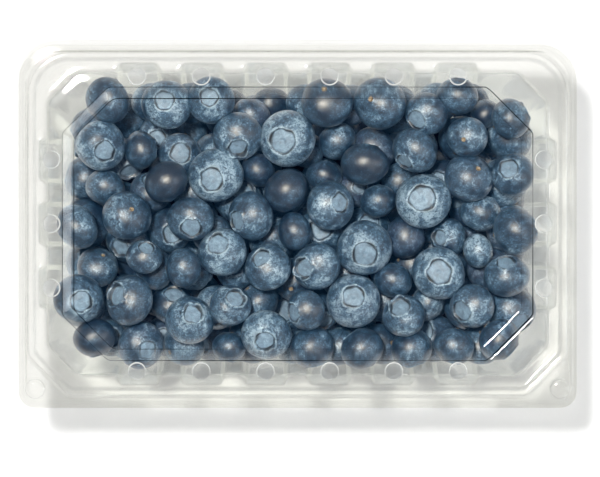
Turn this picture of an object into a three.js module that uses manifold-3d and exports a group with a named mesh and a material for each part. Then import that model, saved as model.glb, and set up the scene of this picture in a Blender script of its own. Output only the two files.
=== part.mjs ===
// A clear clamshell punnet of blueberries: a fluted tray, its hinged vented lid and the heap of fruit inside.
// Millimetres, +Z up. The origin is on the underside of the tray, at the middle of the pack's footprint.

import * as THREE from 'three';
import { mergeVertices } from 'three/addons/utils/BufferGeometryUtils.js';
import Module from 'manifold-3d';

const wasm = await Module();
wasm.setup();

// ---- Driving dimensions -------------------------------------------------------------------------

const SHEET = 0.6; // moulded sheet
const GAP = 0.3; // between the closed lid and the tray

// Flange, where the two halves meet
const PACK_LENGTH = 184.2;
const PACK_WIDTH = 121.4;
const RIM_HEIGHT = 60; // top of the tray's flange
const FLANGE_BACK_RADIUS = 12.5;
const FLANGE_FRONT_RADIUS = 5.5;

// Walls, measured outside and between the flutes
const WALL_LENGTH = 165;
const WALL_WIDTH = 100.4;
const WALL_CHAMFER = 9.6;
const FLOOR_LENGTH = 149;
const FLOOR_WIDTH = 85;
const FLOOR_CHAMFER = 12;
const FLOOR_BEVEL = 3; // slope between the floor and the walls

// Flutes pressed outward in every wall, one above the other in tray and lid
const LONG_FLUTES = 6;
const SHORT_FLUTES = 3;
const FLUTE_PITCH = 21;
const FLUTE_WIDTH = 13;
const FLUTE_SHOULDER = 1;
const FLUTE_DEPTH = 3;

// Lid
const LID_HEIGHT = 15; // from the rim to the top of the shelf
const SHELF_LENGTH = 164.2;
const SHELF_WIDTH = 99.4;
const PANEL_LENGTH = 154.2; // upper edge of the sunk centre panel
const PANEL_WIDTH = 89.8;
const PANEL_CHAMFER = 15;
const PANEL_BEVEL = 3.7;
const PANEL_DEPTH = 1.8;
const VENT_DIAMETER = 5.7;
const VENT_INSET = 1.9; // from the outside of the wall to the middle of the vent
const VENT_SIDES = 10;
const VENT_DROP = 6.5; // how far down the wall the punch reaches

// Bead that runs round the lid's flange
const BEAD_HEIGHT = 1.4;
const BEAD_LENGTH = 172.4; // at its inner foot
const BEAD_WIDTH = 107.8;
const BEAD_FOOT = 3.4;
const BEAD_CROWN = 1.8;
const BEAD_BACK_RADIUS = 11;
const BEAD_FRONT_CHAMFER = 11.5;

// Snap buttons in the front corners, and the fold that hinges the lid
const BUTTON_X = 86.6;
const BUTTON_Y = -54.4;
const BUTTON_RADIUS = 4;
const BUTTON_HEIGHT = 2;
const BUTTON_TAPER = 0.88; // radius at the top over radius at the flange
const STUD_RADIUS = 2.7;
const STUD_HEIGHT = 1.9;
const FOLD_RADIUS = 0.6;
const FOLD_LENGTH = 150;

// Fruit
const HEAP_CLEARANCE = 0.5; // between the fruit and the walls and floor
const HEADSPACE = 5; // between the fruit and the lid's panel
const OPEN_CORNER_FLOOR = 24; // legs of the corners that the fruit leaves open, at the floor and at the rim
const OPEN_CORNER_RIM = 14;
const BERRY_SMALL = 6.2; // range of radii of the berries that fill the pack
const BERRY_LARGE = 8.6;
const BERRY_SQUASH = 0.87; // a berry's height over its width
const BERRY_SIDES = 6;
const TOP_BANDS = 4; // bands of faces on the uppermost berries
const FILL_BANDS = 3; // and on those under them
const FACET_SWELL = 1.04; // makes up for the flat faces, which lie inside a round berry
const LAYERS = 4; // layers of fruit under the uppermost berries, before they settle
const LAYER_RISE = 12.1;
const ROW_SPACING = 16.5;
const SCATTER = 2.5;
const TOP_FALL = 12; // from the highest of the uppermost berries to the lowest
const SETTLE_ROUNDS = 160;
const SETTLE_EASE = 0.8;
const CORE_INSET = 9.5; // from the walls and the floor to the core
const CORE_TOP = 53;
const PROP_RADIUS = 2.5; // of the props inside the heap that tie the highest berries to the core
const PROP_REACH = 6; // of a prop into the core
const SHOWN_FROM = 43; // lowest middle of a berry that shows from above
const SEED = 20261;

// The berries that lie uppermost, highest first: x, y, radius, how far the crown leans to +X and +Y (0 is
// straight, 1 is level), then 1 where the crown is up and -1 where the stalk's scar is.
const TOP_BERRIES = [
  [-3.5, 28.1, 9.5, -0.24, -0.11, 1],
  [-26.4, 17.2, 9.2, -0.17, -0.17, 1],
  [41.9, 8.2, 9.3, -0.09, 0.06, 1],
  [47.0, -16.9, 9.0, 0, 0.05, 1],
  [18.3, -25.6, 9.1, 0, 0.26, 1],
  [22.3, -8.5, 9.3, 0.03, -0.27, 1],
  [-10.8, -36.3, 8.4, -0.03, -0.33, 1],
  [-35.1, -31.8, 8.1, 0.21, 0.35, 1],
  [-64.4, 26.3, 8.5, 0.26, -0.26, 1],
  [-42.5, 39.7, 8.5, -0.05, 0.16, 1],
  [10.2, 6.2, 8.3, 0.5, 0.12, 1],
  [6.3, -13.8, 8.3, -0.65, -0.1, 1],
  [-10.2, -13.8, 8.2, -0.35, 0.5, 1],
  [-24.3, -8.3, 8.3, -0.27, 0.43, 1],
  [-22.9, -27.1, 7.1, 0.35, 0.43, 1],
  [-55.5, -25.2, 8.4, -0.67, 0.27, 1],
  [-72.0, -25.2, 8.5, 0.16, -0.13, 1],
  [-57.0, 3.1, 8.3, -0.28, -0.32, -1],
  [56.4, 15.1, 8.3, -0.41, -0.4, -1],
  [39.0, 25.0, 7.8, -0.55, -0.6, 1],
  [27.1, 39.8, 8.9, 0.39, -0.15, -1],
  [9.9, 40.8, 8.7, 0.13, -0.57, -1],
  [43.3, 36.1, 7.4, -0.6, -0.4, 1],
  [-20.4, 28.3, 8.3, 0.05, -0.6, 1],
  [-42.6, 14.2, 7.7, 0.6, -0.8, 1],
  [-35.3, 1.6, 7.7, 0.05, -0.5, 1],
  [-37.4, -14.4, 6.6, 1, 0, 1],
  [-50.6, -11.1, 6.1, 0.2, 0.68, 1],
  [68.6, -16.6, 7.7, -0.08, 0.75, 1],
  [57.3, -26.7, 7.7, -0.6, -0.3, 1],
  [35.5, -31.5, 7.3, -0.27, 0.57, 1],
  [35.5, -4.2, 7.4, -0.98, 0.2, 1],
  [22.1, 19.8, 8.3, 0.1, 1, 1],
  [-14.8, 2.6, 8.3, -0.75, -0.25, 1],
  [-4.6, 10.1, 7.7, 0.41, -0.91, 1],
  [3.0, -28.5, 6.9, -0.8, -0.2, 1],
  [-29.0, 41.3, 8.0, -0.1, 0.1, 1],
  [4.7, -43.1, 7.7, 0.2, -0.98, 1],
  [69.9, 34.7, 6.9, 0.89, 0.45, 1],
  [51.3, 43.2, 6.9, 0.2, 0.98, 1],
  [71.4, -2.5, 8.2, 0.98, 0.2, 1],
  [70.6, 16.2, 7.2, -0.3, 0.38, 1],
  [56.0, 28.1, 6.9, 0.24, 0.2, -1],
  [-72.3, 15.7, 7.7, -0.96, 0.29, 1],
  [-72.8, -0.9, 7.7, -0.71, -0.71, 1],
  [-71.5, 33.9, 7.2, -0.91, -0.41, 1],
  [-62.9, 41.3, 8.0, 0.8, 0.6, 1],
  [37.5, -42.3, 7.4, 0.29, -0.96, 1],
  [51.5, -40.3, 7.0, -0.2, -0.98, 1],
  [66.2, -37.7, 7.4, 0.71, -0.71, 1],
  [21.2, -41.7, 7.4, -0.6, 0.8, 1],
  [-0.6, -2.5, 6.5, 0.98, 0.2, 1],
  [13.2, 27.8, 6.6, -0.71, 0.71, 1],
  [26.7, 7.7, 6.3, -0.41, 0.91, 1],
  [-69.3, -38.9, 7.2, 0.29, -0.96, 1],
  [50.2, -5.0, 6.5, -0.6, 0, 1],
  [60.4, 4.6, 6.9, 0.2, 0.98, 1],
  [-39.2, 22.6, 7.2, 0.1, 0.1, 1],
  [-63.5, 11.8, 6.9, 0.29, 0.96, 1],
  [-52.4, 24.5, 6.6, 1, 0.1, 1],
  [-15.5, 35.8, 6.5, 0.49, 0.87, 1],
  [-13.5, 18.1, 6.2, 0.8, 0.6, 1],
  [58.7, 42.4, 5.8, 0.91, 0.41, 1],
  [62.3, 36.3, 5.2, 0.8, -0.6, 1],
  [8.8, 15.7, 6.0, 0.29, 0.96, 1],
  [43.3, -26.3, 6.6, 0.91, -0.41, 1],
  [31.1, -18.5, 6.5, 0.41, 0.91, 1],
  [59.8, -9.2, 5.8, 0.98, 0.2, 1],
  [-22.4, -40.6, 5.8, -0.2, -0.98, 1],
];

// ---- Outlines -----------------------------------------------------------------------------------
// Every outline has the same stations, so any two can be joined by a band of faces. It runs anticlockwise
// seen from above: front side, right side, back side, left side, with a corner after each side.

const CORNER_STEPS = 3;

const chamfer = (leg) => ({ leg, round: false });
const rounded = (leg) => ({ leg, round: true });

// A corner's point at t from 0 to 1, as distances back along the side before it and the side after it.
function cornerPoint({ leg, round }, t) {
  if (!round) {
    return [leg * (1 - t), leg * t];
  }
  const angle = (t * Math.PI) / 2;
  return [leg * (1 - Math.sin(angle)), leg * (1 - Math.cos(angle))];
}

// outline: front, back, side are distances from the origin. inset moves it all inward.
function ring(outline, z, inset = 0) {
  const { length, front, back, frontCorner, backCorner, flute = 0 } = outline;
  const halfX = length / 2 - inset;
  const sides = [
    { reach: front - inset, turn: 0, count: LONG_FLUTES, corner: frontCorner },
    { reach: halfX, turn: 1, count: SHORT_FLUTES, corner: backCorner },
    { reach: back - inset, turn: 2, count: LONG_FLUTES, corner: backCorner },
    { reach: halfX, turn: 3, count: SHORT_FLUTES, corner: frontCorner },
  ];
  const points = [];
  const place = (along, out, turn) => {
    const spots = [[along, -out], [out, along], [-along, out], [-out, -along]];
    points.push(new THREE.Vector3(...spots[turn], z));
  };
  for (const { reach, turn, count, corner } of sides) {
    for (let i = 0; i < count; i += 1) {
      const middle = (i - (count - 1) / 2) * FLUTE_PITCH;
      const crest = FLUTE_WIDTH / 2 - inset * 0.8;
      place(middle - crest - FLUTE_SHOULDER, reach, turn);
      place(middle - crest, reach + flute, turn);
      place(middle + crest, reach + flute, turn);
      place(middle + crest + FLUTE_SHOULDER, reach, turn);
    }
    const next = sides[(turn + 1) % 4];
    const trimmed = { ...corner, leg: corner.leg - inset * (corner.round ? 1 : 2 - Math.SQRT2) };
    for (let step = 0; step <= CORNER_STEPS; step += 1) {
      const [before, after] = cornerPoint(trimmed, step / CORNER_STEPS);
      place(next.reach - before, reach - after, turn);
    }
  }
  return points;
}

const symmetric = (length, width, corner, flute) => (
  { length, front: width / 2, back: width / 2, frontCorner: corner, backCorner: corner, flute }
);

// ---- Meshes and solids --------------------------------------------------------------------------

// A closed surface through a row of rings, with the first and last rings filled.
function loft(rings) {
  const size = rings[0].length;
  const vertices = rings.flat().flatMap((p) => [p.x, p.y, p.z]);
  const faces = [];
  for (let band = 0; band < rings.length - 1; band += 1) {
    for (let i = 0; i < size; i += 1) {
      const a = band * size + i;
      const b = band * size + ((i + 1) % size);
      faces.push(a, a + size, b + size, a, b + size, b);
    }
  }
  const flat = (points) => points.map((p) => new THREE.Vector2(p.x, p.y));
  const last = (rings.length - 1) * size;
  for (const [a, b, c] of THREE.ShapeUtils.triangulateShape(flat(rings[0]), [])) {
    faces.push(a, b, c);
  }
  for (const [a, b, c] of THREE.ShapeUtils.triangulateShape(flat(rings.at(-1)), [])) {
    faces.push(last + c, last + b, last + a);
  }
  const geometry = new THREE.BufferGeometry();
  geometry.setAttribute('position', new THREE.Float32BufferAttribute(vertices, 3));
  geometry.setIndex(faces);
  return geometry;
}

// A closed geometry as a manifold solid.
function solid(geometry) {
  const bare = geometry.clone();
  bare.deleteAttribute('normal');
  bare.deleteAttribute('uv');
  const merged = mergeVertices(bare, 1e-4);
  return new wasm.Manifold(new wasm.Mesh({
    numProp: 3,
    vertProperties: new Float32Array(merged.attributes.position.array),
    triVerts: new Uint32Array(merged.index.array),
  }));
}

function meshOf(shape, name, material) {
  const { vertProperties, triVerts } = shape.getMesh();
  const geometry = new THREE.BufferGeometry();
  geometry.setAttribute('position', new THREE.Float32BufferAttribute(vertProperties, 3));
  geometry.setIndex([...triVerts]);
  geometry.computeVertexNormals();
  const mesh = new THREE.Mesh(geometry, material);
  mesh.name = name;
  return mesh;
}

// An upright cylinder or cone from z = low to z = high.
function post(x, y, low, high, lowRadius, highRadius, sides) {
  const geometry = new THREE.CylinderGeometry(highRadius, lowRadius, high - low, sides);
  geometry.rotateX(Math.PI / 2);
  geometry.translate(x, y, (low + high) / 2);
  return solid(geometry);
}

// ---- Plastic ------------------------------------------------------------------------------------

const wall = symmetric(WALL_LENGTH, WALL_WIDTH, chamfer(WALL_CHAMFER), FLUTE_DEPTH);
const floorEdge = symmetric(FLOOR_LENGTH, FLOOR_WIDTH, chamfer(FLOOR_CHAMFER), FLUTE_DEPTH / 2);
const flange = {
  length: PACK_LENGTH,
  front: PACK_WIDTH / 2,
  back: PACK_WIDTH / 2,
  frontCorner: rounded(FLANGE_FRONT_RADIUS),
  backCorner: rounded(FLANGE_BACK_RADIUS),
};
const foldY = PACK_WIDTH / 2 - FOLD_RADIUS;
const foldZ = RIM_HEIGHT + GAP;
const lidFlange = { ...flange, back: foldY - FOLD_RADIUS - GAP };

const fluteMiddles = (count) => (
  Array.from({ length: count }, (_, i) => (i - (count - 1) / 2) * FLUTE_PITCH)
);

function makeTray() {
  let tray = solid(loft([
    ring(floorEdge, SHEET, FLOOR_BEVEL),
    ring(floorEdge, FLOOR_BEVEL + SHEET / 2, SHEET),
    ring(wall, RIM_HEIGHT, SHEET),
    ring(flange, RIM_HEIGHT),
    ring(flange, RIM_HEIGHT - SHEET),
    ring(wall, RIM_HEIGHT - SHEET),
    ring(floorEdge, FLOOR_BEVEL),
    ring(floorEdge, 0, FLOOR_BEVEL - SHEET / 2),
  ]));
  for (const side of [-1, 1]) {
    tray = tray.add(post(
      side * BUTTON_X, BUTTON_Y, RIM_HEIGHT - SHEET / 2, RIM_HEIGHT + STUD_HEIGHT,
      STUD_RADIUS, STUD_RADIUS * BUTTON_TAPER, 12,
    ));
  }
  const fold = new THREE.CylinderGeometry(FOLD_RADIUS, FOLD_RADIUS, FOLD_LENGTH, 8);
  fold.rotateZ(Math.PI / 2);
  fold.translate(0, foldY, foldZ);
  return tray.add(solid(fold));
}

function makeLid() {
  const underside = RIM_HEIGHT + GAP;
  const flangeTop = underside + SHEET;
  const shelfTop = RIM_HEIGHT + LID_HEIGHT;
  const panelTop = shelfTop - PANEL_DEPTH;
  const shelf = symmetric(SHELF_LENGTH, SHELF_WIDTH, chamfer(WALL_CHAMFER));
  const panel = symmetric(PANEL_LENGTH, PANEL_WIDTH, chamfer(PANEL_CHAMFER));
  const bead = {
    length: BEAD_LENGTH,
    front: BEAD_WIDTH / 2,
    back: BEAD_WIDTH / 2,
    frontCorner: chamfer(BEAD_FRONT_CHAMFER),
    backCorner: rounded(BEAD_BACK_RADIUS),
  };
  const beadSlope = (BEAD_FOOT - BEAD_CROWN) / 2;
  let lid = solid(loft([
    ring(panel, panelTop, PANEL_BEVEL),
    ring(panel, shelfTop),
    ring(shelf, shelfTop),
    ring(wall, flangeTop),
    ring(bead, flangeTop),
    ring(bead, flangeTop + BEAD_HEIGHT, -beadSlope),
    ring(bead, flangeTop + BEAD_HEIGHT, -beadSlope - BEAD_CROWN),
    ring(bead, flangeTop, -BEAD_FOOT),
    ring(lidFlange, flangeTop),
    ring(lidFlange, underside),
    ring(wall, underside, SHEET),
    ring(shelf, shelfTop - SHEET, SHEET),
    ring(panel, shelfTop - SHEET),
    ring(panel, panelTop - SHEET, PANEL_BEVEL),
  ]));
  const punch = (x, y) => {
    const radius = VENT_DIAMETER / 2;
    lid = lid.subtract(post(x, y, shelfTop - VENT_DROP, shelfTop + 1, radius, radius, VENT_SIDES));
  };
  for (const side of [-1, 1]) {
    for (const middle of fluteMiddles(LONG_FLUTES)) {
      punch(middle, side * (WALL_WIDTH / 2 - VENT_INSET));
    }
    for (const middle of fluteMiddles(SHORT_FLUTES)) {
      punch(side * (WALL_LENGTH / 2 - VENT_INSET), middle);
    }
    const x = side * BUTTON_X;
    const top = flangeTop + BUTTON_HEIGHT;
    const hollow = BUTTON_RADIUS - SHEET;
    lid = lid
      .add(post(x, BUTTON_Y, underside, top, BUTTON_RADIUS, BUTTON_RADIUS * BUTTON_TAPER, 16))
      .subtract(post(x, BUTTON_Y, underside - 1, top - SHEET, hollow, hollow * BUTTON_TAPER, 16));
  }
  return lid;
}

// ---- Fruit --------------------------------------------------------------------------------------

// A small repeatable generator of numbers from 0 to 1.
function dice(seed) {
  let state = seed;
  return () => {
    state = (Math.imul(state, 1664525) + 1013904223) >>> 0;
    return state / 4294967296;
  };
}

const lerp = (a, b, t) => a + (b - a) * t;

// Half length and half width inside the walls at a height, and the legs of the open corners.
function roomAt(z) {
  const t = Math.min(Math.max(z / RIM_HEIGHT, 0), 1);
  return [
    lerp(FLOOR_LENGTH, WALL_LENGTH, t) / 2 - SHEET,
    lerp(FLOOR_WIDTH, WALL_WIDTH, t) / 2 - SHEET,
    lerp(OPEN_CORNER_FLOOR, OPEN_CORNER_RIM, t),
  ];
}

const heapTop = RIM_HEIGHT + LID_HEIGHT - PANEL_DEPTH - SHEET - HEADSPACE;
const heapFloor = SHEET + HEAP_CLEARANCE;

// Moves a berry inside the walls, the floor and the ceiling, and out of the open corners.
function keepInside(berry) {
  berry.z = Math.min(Math.max(berry.z, heapFloor + berry.r), heapTop - berry.r);
  const [halfX, halfY, corner] = roomAt(berry.z);
  const reach = berry.r * 1.01 + HEAP_CLEARANCE;
  berry.x = Math.min(Math.max(berry.x, reach - halfX), halfX - reach);
  berry.y = Math.min(Math.max(berry.y, reach - halfY), halfY - reach);
  const cut = halfX + halfY - corner - reach * Math.SQRT2;
  const excess = Math.abs(berry.x) + Math.abs(berry.y) - cut;
  if (excess > 0) {
    berry.x -= (Math.sign(berry.x) * excess) / 2;
    berry.y -= (Math.sign(berry.y) * excess) / 2;
  }
}

// Pushes apart the berries that overlap. The uppermost ones mostly give way in height.
function settle(berries) {
  for (let round = 0; round < SETTLE_ROUNDS; round += 1) {
    const moves = berries.map(() => [0, 0, 0]);
    for (let i = 0; i < berries.length; i += 1) {
      for (let j = i + 1; j < berries.length; j += 1) {
        const [a, b] = [berries[i], berries[j]];
        const [dx, dy, dz] = [a.x - b.x, a.y - b.y, a.z - b.z];
        const apart = Math.sqrt(dx * dx + dy * dy + dz * dz);
        if (apart < a.r + b.r) {
          const push = (0.5 * (a.r + b.r - apart)) / apart;
          [dx, dy, dz].forEach((gap, axis) => {
            moves[i][axis] += gap * push;
            moves[j][axis] -= gap * push;
          });
        }
      }
    }
    berries.forEach((berry, i) => {
      const [moveX, moveY, moveZ] = moves[i];
      berry.x += moveX * berry.loose + (berry.homeX - berry.x) * berry.homing;
      berry.y += moveY * berry.loose + (berry.homeY - berry.y) * berry.homing;
      berry.z += moveZ * SETTLE_EASE;
      keepInside(berry);
    });
  }
}

function packBerries() {
  const random = dice(SEED);
  const between = (low, high) => lerp(low, high, random());
  const berries = TOP_BERRIES.map(([x, y, r, leanX, leanY, up], i) => {
    const z = heapTop - r - (i / TOP_BERRIES.length) * TOP_FALL;
    const [homeX, homeY] = [x, y];
    return { x, y, z, r, leanX, leanY, up, homeX, homeY, homing: 0.25, loose: 0.3, bands: TOP_BANDS };
  });
  for (let layer = 0; layer < LAYERS; layer += 1) {
    const height = heapFloor + BERRY_LARGE + layer * LAYER_RISE;
    const [roomX, roomY, corner] = roomAt(height);
    const rows = Math.round((2 * roomY) / (ROW_SPACING * 0.87));
    const columns = Math.round((2 * roomX) / ROW_SPACING);
    for (let row = 0; row < rows; row += 1) {
      for (let column = 0; column < columns - ((row + layer) % 2); column += 1) {
        const shift = (columns - 1 - ((row + layer) % 2)) / 2;
        const berry = {
          x: (column - shift) * ROW_SPACING + between(-SCATTER, SCATTER),
          y: (row - (rows - 1) / 2) * ROW_SPACING * 0.87 + between(-SCATTER, SCATTER),
          z: height + between(-SCATTER, SCATTER),
          r: between(BERRY_SMALL, BERRY_LARGE),
          leanX: between(-0.7, 0.7),
          leanY: between(-0.7, 0.7),
          up: random() < 0.5 ? -1 : 1,
          homeX: 0,
          homeY: 0,
          homing: 0,
          loose: SETTLE_EASE,
          bands: FILL_BANDS,
        };
        const inCorner = Math.abs(berry.x) + Math.abs(berry.y) > roomX + roomY - corner;
        if (!inCorner) {
          berries.push(berry);
        }
      }
    }
  }
  settle(berries);
  return berries;
}

// One berry: a squat faceted ball whose short axis is the line from stalk to crown.
function berrySolid({ x, y, z, r, leanX, leanY, up, bands }) {
  const geometry = new THREE.SphereGeometry(r * FACET_SWELL, BERRY_SIDES, bands);
  geometry.scale(1, BERRY_SQUASH, 1);
  const rise = up * Math.sqrt(Math.max(0, 1 - leanX * leanX - leanY * leanY));
  const crown = new THREE.Vector3(leanX, leanY, rise).normalize();
  geometry.applyQuaternion(
    new THREE.Quaternion().setFromUnitVectors(new THREE.Vector3(0, 1, 0), crown),
  );
  geometry.translate(x, y, z);
  return solid(geometry);
}

// True if a berry shows from outside the heap.
function shows({ x, y, z }) {
  const [halfX, halfY, corner] = roomAt(z);
  const toWall = Math.min(halfX - Math.abs(x), halfY - Math.abs(y));
  const toCorner = (halfX + halfY - corner - Math.abs(x) - Math.abs(y)) / Math.SQRT2;
  const deep = Math.min(toWall, toCorner) > CORE_INSET + 2;
  return !deep || z > SHOWN_FROM || z < heapFloor + BERRY_LARGE + 1;
}

function makeHeap() {
  const coreRing = (z) => {
    const [roomX, roomY, corner] = roomAt(z);
    const [x, y] = [roomX - CORE_INSET, roomY - CORE_INSET];
    const leg = corner - CORE_INSET * (2 - Math.SQRT2);
    const quarter = [[x, -y + leg], [x, y - leg], [x - leg, y], [-x + leg, y]];
    const outline = [...quarter, ...quarter.map(([u, v]) => [-u, -v])];
    return outline.map(([u, v]) => new THREE.Vector3(u, v, z));
  };
  let heap = solid(loft([coreRing(CORE_TOP), coreRing(heapFloor + CORE_INSET)]));
  for (const berry of packBerries().filter(shows)) {
    heap = heap.add(berrySolid(berry));
    if (berry.z - 0.95 * berry.r > CORE_TOP) {
      const foot = CORE_TOP - PROP_REACH;
      heap = heap.add(post(berry.x, berry.y, foot, berry.z, PROP_RADIUS, PROP_RADIUS, 4));
    }
  }
  // Sealed hollows between the berries are filled: only the outer skin is kept.
  const skins = heap.decompose();
  return skins.reduce((most, skin) => (skin.volume() > most.volume() ? skin : most));
}

// ---- Assembly -----------------------------------------------------------------------------------

const clearPlastic = () => new THREE.MeshStandardMaterial({
  color: 0xe6ece8, roughness: 0.08, metalness: 0, transparent: true, opacity: 0.3,
});
const bloomSkin = new THREE.MeshStandardMaterial({ color: 0x4a6482, roughness: 0.6, metalness: 0 });

const punnet = new THREE.Group();
punnet.add(meshOf(makeTray(), 'tray', clearPlastic()));
punnet.add(meshOf(makeLid(), 'lid', clearPlastic()));
punnet.add(meshOf(makeHeap(), 'blueberries', bloomSkin));

export default punnet;
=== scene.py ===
"""A clear hinged punnet, filled with blueberries and standing shut on a pale floor.

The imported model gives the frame: +X along the pack, +Y towards the lid's hinge, +Z up, in metres, with the
origin under the middle of the tray. Each piece rides on the tray or the lid.
"""

import math

import bpy
import numpy as np
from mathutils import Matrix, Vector


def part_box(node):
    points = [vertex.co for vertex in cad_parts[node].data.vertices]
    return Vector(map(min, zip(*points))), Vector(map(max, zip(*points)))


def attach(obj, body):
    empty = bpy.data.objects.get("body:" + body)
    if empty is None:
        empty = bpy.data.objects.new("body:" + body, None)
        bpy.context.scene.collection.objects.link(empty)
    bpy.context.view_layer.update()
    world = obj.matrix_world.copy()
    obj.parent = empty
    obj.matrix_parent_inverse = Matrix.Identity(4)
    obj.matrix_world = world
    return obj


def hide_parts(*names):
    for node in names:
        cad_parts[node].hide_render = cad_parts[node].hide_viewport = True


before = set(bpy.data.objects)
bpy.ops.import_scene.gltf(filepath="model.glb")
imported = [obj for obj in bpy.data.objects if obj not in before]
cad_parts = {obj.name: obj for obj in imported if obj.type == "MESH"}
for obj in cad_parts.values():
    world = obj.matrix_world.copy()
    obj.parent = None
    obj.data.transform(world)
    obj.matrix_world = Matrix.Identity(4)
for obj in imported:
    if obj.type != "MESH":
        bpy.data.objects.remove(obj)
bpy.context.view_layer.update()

bl_info = {
    "name": "Punnet of Blueberries",
    "version": (1, 0, 0),
    "blender": (4, 5, 0),
    "location": "View3D > Sidebar > Punnet",
    "description": "Makes a clear hinged punnet full of blueberries, piece by piece",
    "category": "Add Mesh",
}

MM = 0.001
TRAY_LOW, TRAY_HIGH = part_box("tray")
LID_LOW, LID_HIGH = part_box("lid")

# In millimetres, because the fruit is packed in them
SHEET_MM = 0.6
RIM_MM = 60  # top of the tray's flange
WALL_MM = 165, 100.4  # length and width outside the walls at the rim
FLOOR_MM = 149, 85  # and at the floor


def linear(hex_colour):
    """The linear red, green and blue of an sRGB colour written as six hex digits."""
    shares = [int(hex_colour[i:i + 2], 16) / 255 for i in (0, 2, 4)]
    return [s / 12.92 if s <= 0.04045 else ((s + 0.055) / 1.055) ** 2.4 for s in shares]


def number(name, description, default, **limits):
    return bpy.props.FloatProperty(name=name, description=description, default=default, **limits)


def length(name, description, default):
    return number(name, description, default, min=0, unit="LENGTH", precision=4)


def power(name, description, default):
    return number(name, description, default, min=0, unit="POWER")


def colour(name, description, default):
    return bpy.props.FloatVectorProperty(
        name=name, description=description, default=linear(default), size=3, min=0, max=1, subtype="COLOR"
    )


# ---- What a user may change ---------------------------------------------------------------------


class PunnetSizes(bpy.types.PropertyGroup):
    sheet: length("Sheet", "Thickness of the moulded sheet", SHEET_MM * MM)
    gap: length("Gap", "Between the shut lid's flange and the tray's", LID_LOW.z - RIM_MM * MM)
    fold_radius: length("Fold radius", "Radius of the fold that hinges the lid", 0.6 * MM)
    flute_depth: length("Flute depth", "How far the flutes are pressed out of the walls", 3 * MM)
    flute_width: length("Flute width", "Width of a flute's crest", 13 * MM)
    flute_pitch: length("Flute pitch", "From the middle of one flute to the next", 21 * MM)
    panel_depth: length("Panel depth", "How far the lid's middle is sunk", 1.8 * MM)
    panel_bevel: length("Panel bevel", "Width of the slope round the sunk panel", 3.7 * MM)
    bead_height: length("Bead height", "Height of the bead round the lid's flange", 1.4 * MM)
    vent_diameter: length("Vent diameter", "Width of the punched air holes", 5.7 * MM)
    button_radius: length("Button radius", "Radius of the snap buttons in the front corners", 4 * MM)
    tint: colour("Tint", "What the drawn sheet lets through", "FFFFFE")
    flange_tint: colour("Flange tint", "What the thicker flanges let through", "F9F9F8")
    shade: colour("Shade", "What the drawn sheet lets through of the lamps' light", "FBFBF9")
    flange_shade: colour("Flange shade", "What the flanges let through of the lamps' light", "CFCFCD")
    edge_shade: colour("Edge shade", "What the sheet lets through where it is seen edge on", "EDEFEC")
    # Painted shade: the darker tint the view gets through the crease threads, standing in for the line a
    # crease's refraction shows
    painted_crease_tint: colour("Crease", "What the tight creases of the lid's panel let through", "98A0A4")
    sheen: colour("Sheen", "What the sheet's faces mirror", "F6F7F5")
    # Painted highlight: the near white of the lips round the air holes, for the glint along their punched
    # edges
    painted_edge_glint: colour("Cut edge", "Edge of a punched air hole", "F4F6F5")


class FruitLooks(bpy.types.PropertyGroup):
    squash: number("Squash", "A berry's height over its width", 0.87, min=0.5, max=1.2)
    disc: number("Crown width", "Radius of the crown's disc over the berry's", 0.41, min=0.1, max=0.7)
    skin: colour("Bare skin", "Skin where the bloom is rubbed off", "071F37")
    thin_bloom: colour("Thin bloom", "Skin under a thin bloom", "13314B")
    bloom: colour("Bloom", "Skin under a full bloom", "456883")
    dust: colour("Dust", "The thickest bloom", "A4BCCD")
    violet: colour("Violet", "Skin of the less ripe berries", "3C3A55")
    disc_colour: colour("Crown disc", "Inside of the crown", "8CA8BF")
    # Painted shade: dark for the crown's dried edge and for the shade in the groove round its disc
    crack_and_shade: colour("Crack", "Dried edge of the crown", "07101C")
    scar: colour("Scar", "Where the stalk was", "A58C68")
    sheen: colour("Sheen", "Tint of the soft highlight on the wax", "FFF8EC")
    core: colour("Core", "Fruit in the shadow of the heap", "1E4B75")
    # Painted glow: the skin's faint blue emission, which lightens the fruit's shadows as light scattered
    # inside it would
    painted_inner_glow: colour("Inner light", "What light scattered inside the fruit adds in its shadows", "03101D")


class StageLooks(bpy.types.PropertyGroup):
    floor: colour("Floor", "Opal acrylic", "E8E8E8")
    floor_glow: number("Floor glow", "How much light the floor gives of its own", 0.42, min=0, max=2)
    key_power: power("Key light", "Power of the main light", 138.0)
    fill_power: power("Fill light", "Power of the soft light on the right", 2.25)
    strip_power: power("Small light", "Power of the small light that draws the lid's bevel", 0.8)
    camera_height: length("Camera height", "From the lid's flange up to the camera", 1.5)
    view_width: length("View width", "What the camera sees at the height of the lid's flange", 198 * MM)


# ---- Small tools --------------------------------------------------------------------------------


def mesh_piece(name, vertices, faces, material):
    """A new smooth object of these vertices and faces."""
    mesh = bpy.data.meshes.new(name)
    mesh.from_pydata(np.asarray(vertices).tolist(), [], faces)
    mesh.materials.append(material)
    mesh.shade_smooth()
    mesh.update()
    piece = bpy.data.objects.new(name, mesh)
    bpy.context.scene.collection.objects.link(piece)
    return piece


def grid_faces(rows, columns, start=0, flip=False):
    """Faces that join rows of points, each row a closed ring."""
    a = np.arange((rows - 1) * columns)
    b = a - a % columns + (a + 1) % columns
    quads = start + np.stack([a, b, b + columns, a + columns], 1)
    return (quads[:, ::-1] if flip else quads).tolist()


def fan_faces(middle, first, columns, flip=False):
    """Triangles from one point to a closed ring of points."""
    a = first + np.arange(columns)
    b = first + (np.arange(columns) + 1) % columns
    fan = np.stack([np.full(columns, middle), a, b], 1)
    return (fan[:, ::-1] if flip else fan).tolist()


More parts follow.
